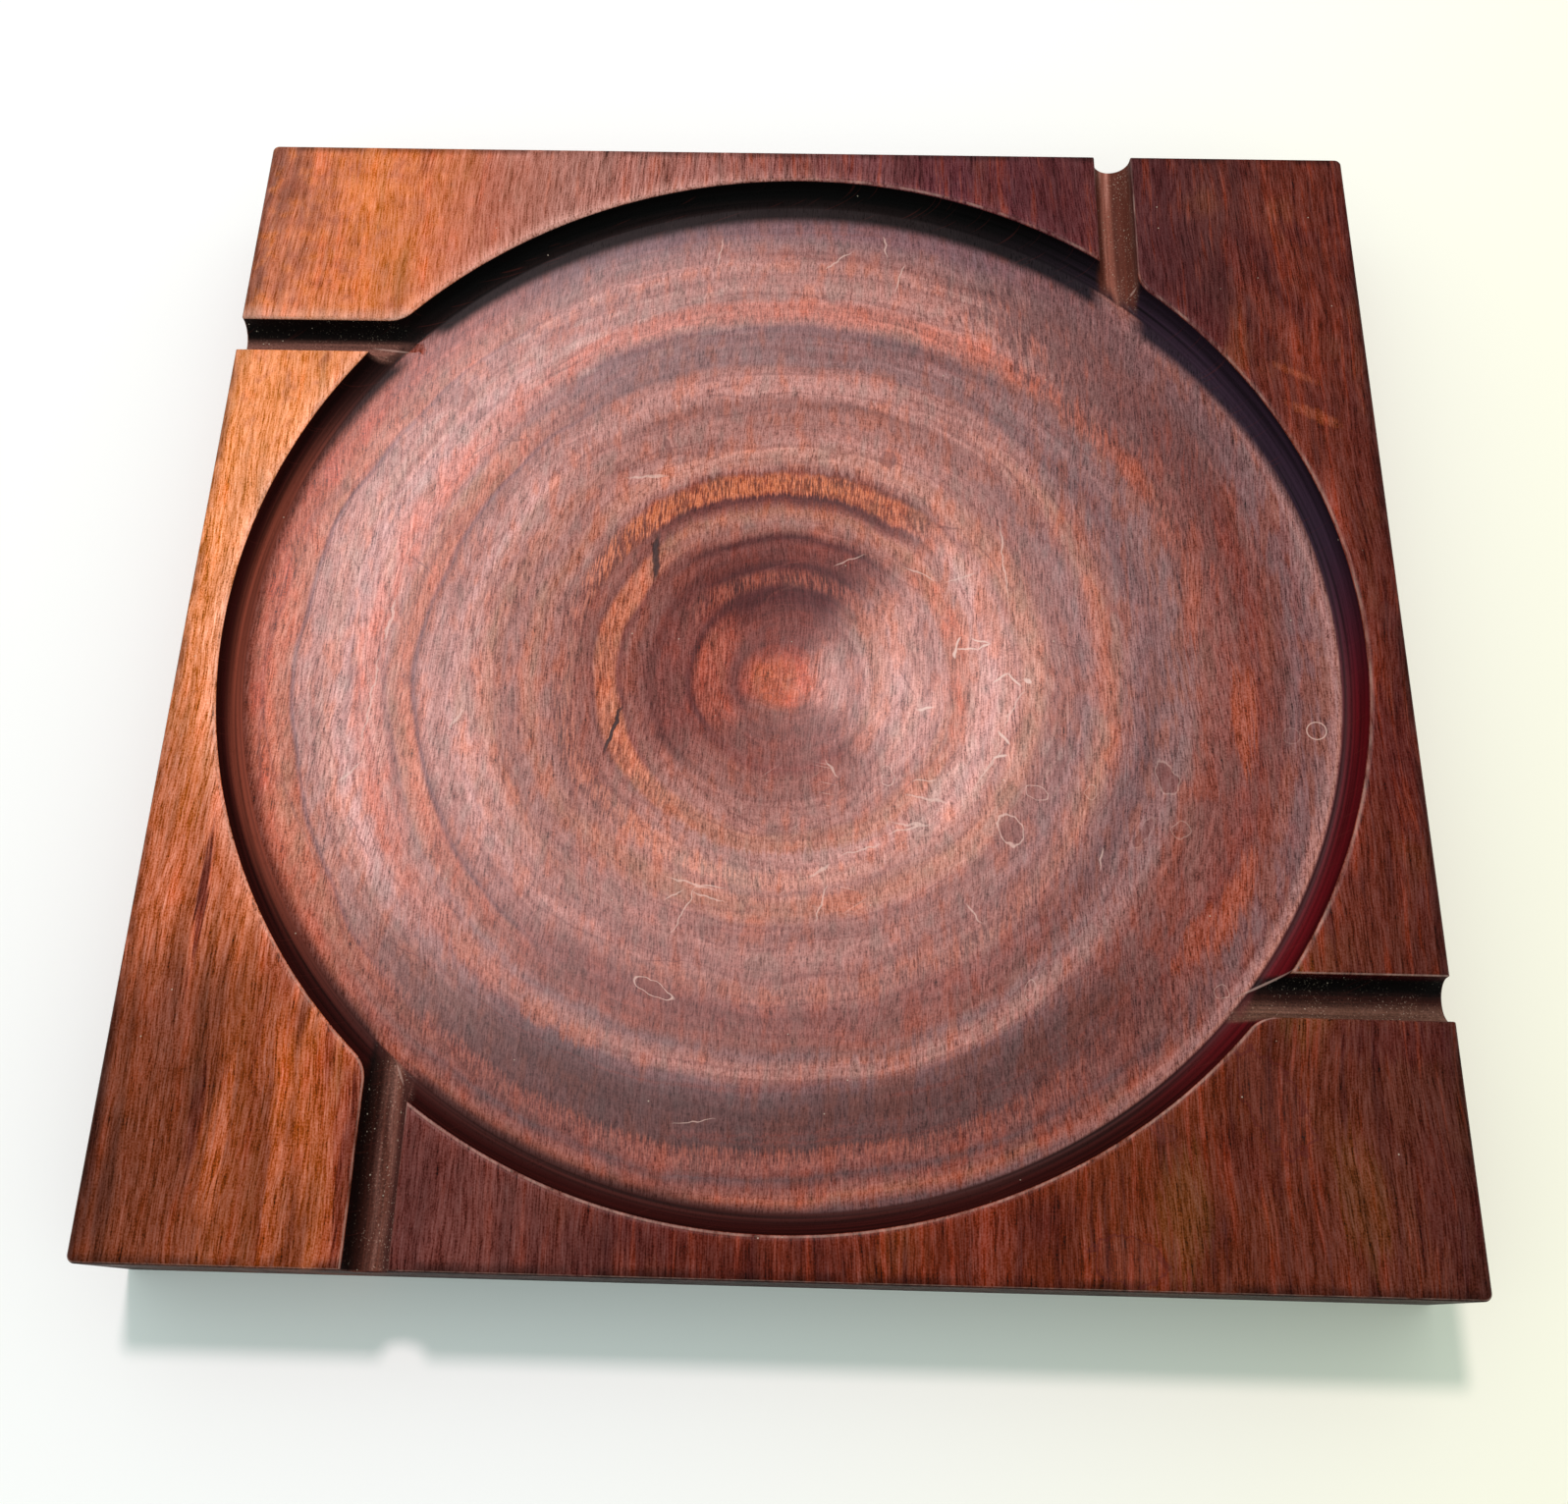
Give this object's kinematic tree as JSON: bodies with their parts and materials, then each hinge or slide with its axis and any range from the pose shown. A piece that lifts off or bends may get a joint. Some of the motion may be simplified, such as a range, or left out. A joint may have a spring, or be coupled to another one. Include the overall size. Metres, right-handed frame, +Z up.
{
  "type": "wooden tray",
  "caption": "Square tray of dark hardwood with a round dished bowl turned into its top and round-bottomed grooves running in from the sides.",
  "frame": {"origin": "centre of the flat underside", "axes": "+Z up out of the bowl, X and Y square to the sides, the wood's grain along Y"},
  "size_m": [0.25, 0.25, 0.027],
  "materials": {
    "hardwood": "satin oiled dark red-brown hardwood, straight grain along Y"
  },
  "bodies": {
    "root": {"tray": "hardwood"}
  },
  "joints": []
}
